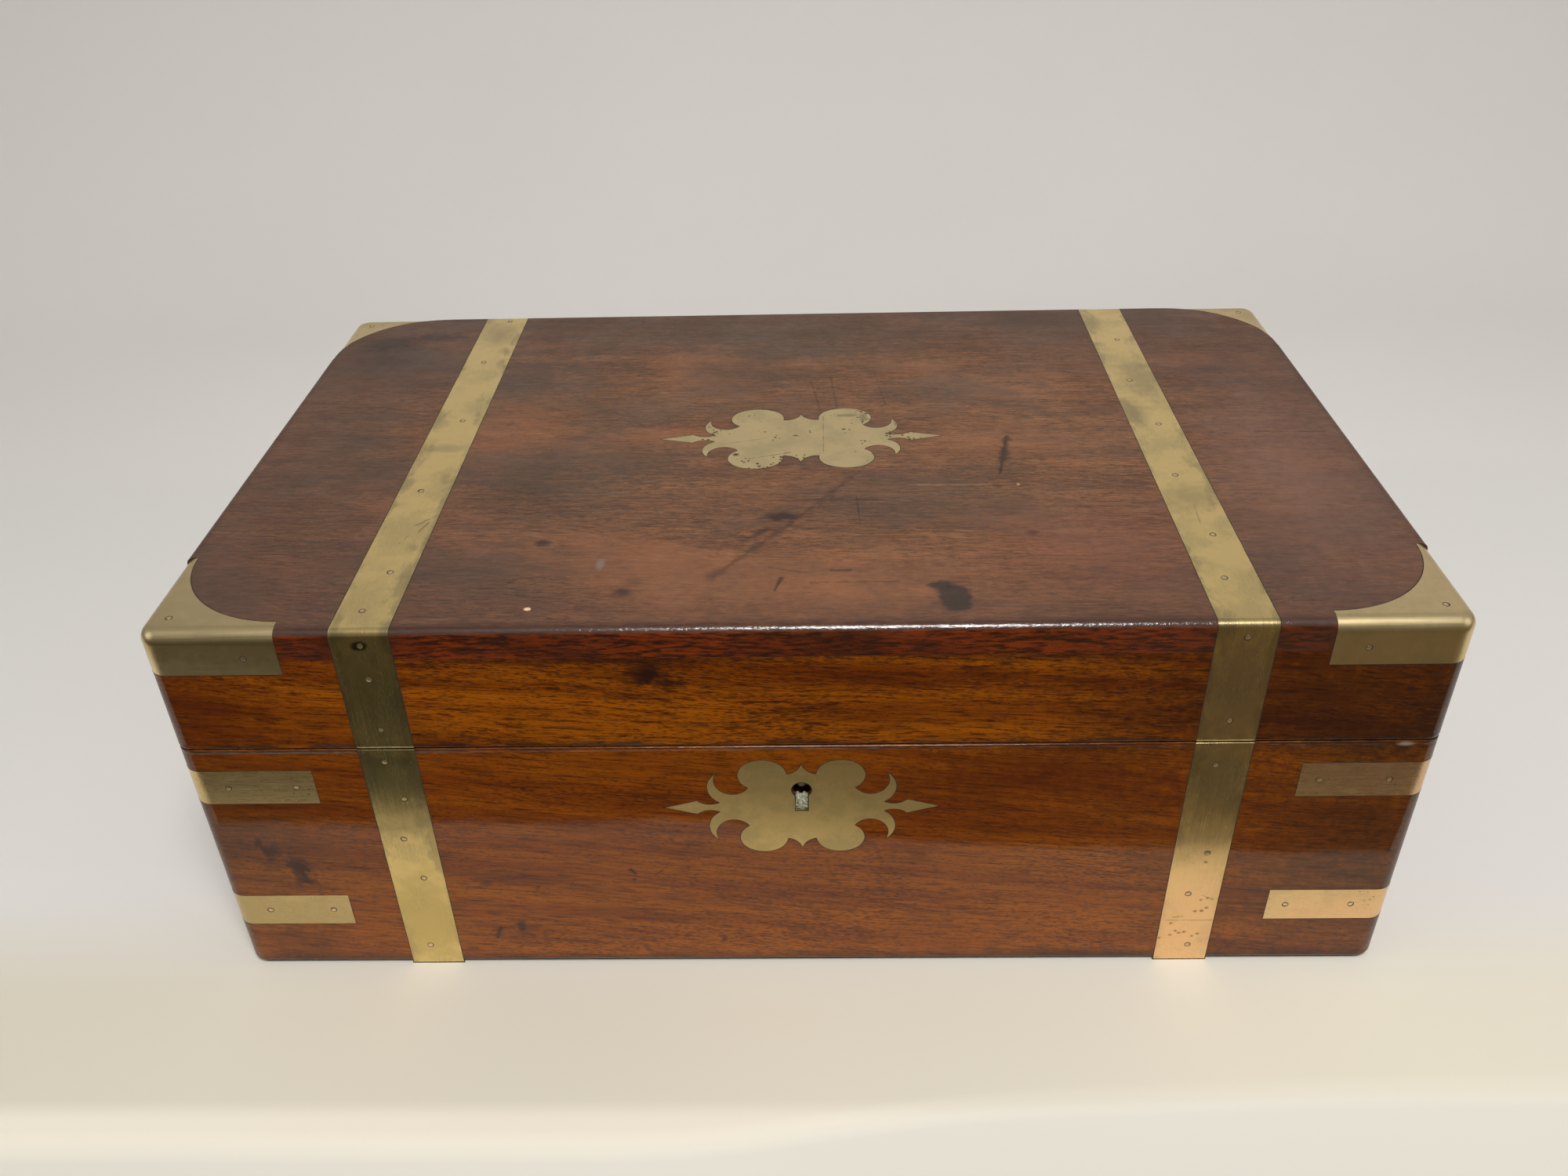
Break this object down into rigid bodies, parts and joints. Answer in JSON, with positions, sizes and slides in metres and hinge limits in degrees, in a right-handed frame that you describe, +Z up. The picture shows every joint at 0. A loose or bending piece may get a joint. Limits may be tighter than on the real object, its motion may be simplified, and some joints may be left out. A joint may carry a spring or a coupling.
{
  "type": "writing slope",
  "caption": "Brass-bound mahogany writing box with a slanting seam; the lid turns over to make one long leather-lined writing slope.",
  "frame": {"origin": "on the table, under the middle of the shut box and its hinge knuckles", "axes": "+Z up, X along the width, the lock face looks towards -Y and the hinges are at +Y"},
  "size_m": [0.406, 0.2486, 0.1485],
  "materials": {
    "mahogany_case": "French-polished mahogany, glossy, red-brown with dark pores along the grain",
    "mahogany_top": "worn polished mahogany, hazy, scratched, with old stains",
    "mahogany_inner": "oiled mahogany, low sheen, clean inside the box",
    "brass_inlay": "aged brass sheet, mottled and lightly scratched",
    "brass_cartouche": "aged brass sheet, pitted and scratched",
    "brass_pins": "filed-flush coppery brass pins",
    "brass_fittings": "turned and filed brass, cleaner inside the box",
    "lock_brass": "filed brass lock plates",
    "lock_steel": "dark filed steel",
    "leather": "dark green skiver with blind and gilt tooling",
    "baize": "thin grey-brown felted cloth",
    "ink_glass": "clear pressed glass, slightly green"
  },
  "bodies": {
    "base": {"baize": "baize", "base_back_board": "mahogany_case", "base_back_corner_strips": "brass_inlay", "base_back_straps": "brass_inlay", "base_flap_fixed_leaves": "brass_fittings", "base_flap_hinge_pins": "brass_fittings", "base_front_board": "mahogany_case", "base_front_corner_strips": "brass_inlay", "base_front_straps": "brass_inlay", "base_hinge_rail": "mahogany_inner", "base_ledges": "mahogany_inner", "base_left_board": "mahogany_case", "base_pins": "brass_pins", "base_right_board": "mahogany_case", "base_screws": "brass_fittings", "bottom_board": "mahogany_inner", "escutcheon": "brass_cartouche", "flap_rest_rail": "mahogany_inner", "ink_bottle_left": "ink_glass", "ink_bottle_right": "ink_glass", "ink_cap_pins": "brass_fittings", "ink_collars": "brass_fittings", "inkwell_floors": "mahogany_inner", "lock_cap": "lock_brass", "lock_case": "lock_brass", "lock_key_pin": "lock_steel", "main_hinge_base_leaves": "brass_fittings", "main_hinge_pins": "brass_fittings", "pen_partitions": "mahogany_inner", "pen_tray": "mahogany_inner"},
    "lock_bolt": {"lock_bolt": "lock_brass"},
    "base_flap": {"base_flap_board": "mahogany_inner", "base_flap_leather": "leather", "base_flap_moving_leaves": "brass_fittings"},
    "ink_cap_left": {"ink_cap_left": "brass_fittings"},
    "ink_cap_right": {"ink_cap_right": "brass_fittings"},
    "lid": {"lid_top_board": "mahogany_top", "lid_front_rail": "mahogany_case", "lid_back_rail": "mahogany_case", "lid_left_rail": "mahogany_case", "lid_right_rail": "mahogany_case", "lid_strap_left": "brass_inlay", "lid_strap_right": "brass_inlay", "bracket_front_left": "brass_inlay", "bracket_front_right": "brass_inlay", "bracket_back_left": "brass_inlay", "bracket_back_right": "brass_inlay", "name_plaque": "brass_cartouche", "lid_pins": "brass_pins", "link_plate": "brass_fittings", "lid_screws": "brass_fittings", "main_hinge_lid_leaves": "brass_fittings", "lid_hinge_rail": "mahogany_inner", "lid_flap_board": "mahogany_inner", "lid_flap_leather": "leather", "lid_flap_hinges": "brass_fittings", "lid_flap_ledges": "mahogany_inner"},
    "flap_catch": {"flap_catch": "brass_fittings"}
  },
  "joints": [
    {"name": "lid_hinge", "type": "hinge", "parent": "base", "child": "lid", "pos_m": [0, 0.122, 0.07425], "axis": [-1, 0, 0], "range_deg": [0, 180]},
    {"name": "base_flap_hinge", "type": "hinge", "parent": "base", "child": "base_flap", "pos_m": [0, 0.0957, 0.07544], "axis": [-1, 0, 0], "range_deg": [0, 100]},
    {"name": "ink_cap_left_hinge", "type": "hinge", "parent": "base", "child": "ink_cap_left", "pos_m": [-0.1695, -0.0738, 0.08515], "axis": [-1, 0, 0], "range_deg": [0, 105]},
    {"name": "ink_cap_right_hinge", "type": "hinge", "parent": "base", "child": "ink_cap_right", "pos_m": [0.1695, -0.0738, 0.08515], "axis": [-1, 0, 0], "range_deg": [0, 105]},
    {"name": "lock_bolt_slide", "type": "slide", "parent": "base", "child": "lock_bolt", "axis": [1, 0, 0], "range_m": [0, 0.004]},
    {"name": "flap_catch_turn", "type": "hinge", "parent": "lid", "child": "flap_catch", "pos_m": [0.075, -0.1191, 0.10181], "axis": [0, -0.1136, -0.9935], "range_deg": [0, 90]}
  ],
  "couplings": [
    {"joint": "base_flap_hinge", "follows": "lid_hinge", "ratio": 0.4},
    {"joint": "ink_cap_left_hinge", "follows": "lid_hinge", "ratio": 0.55},
    {"joint": "ink_cap_right_hinge", "follows": "lid_hinge", "ratio": 0.55}
  ]
}
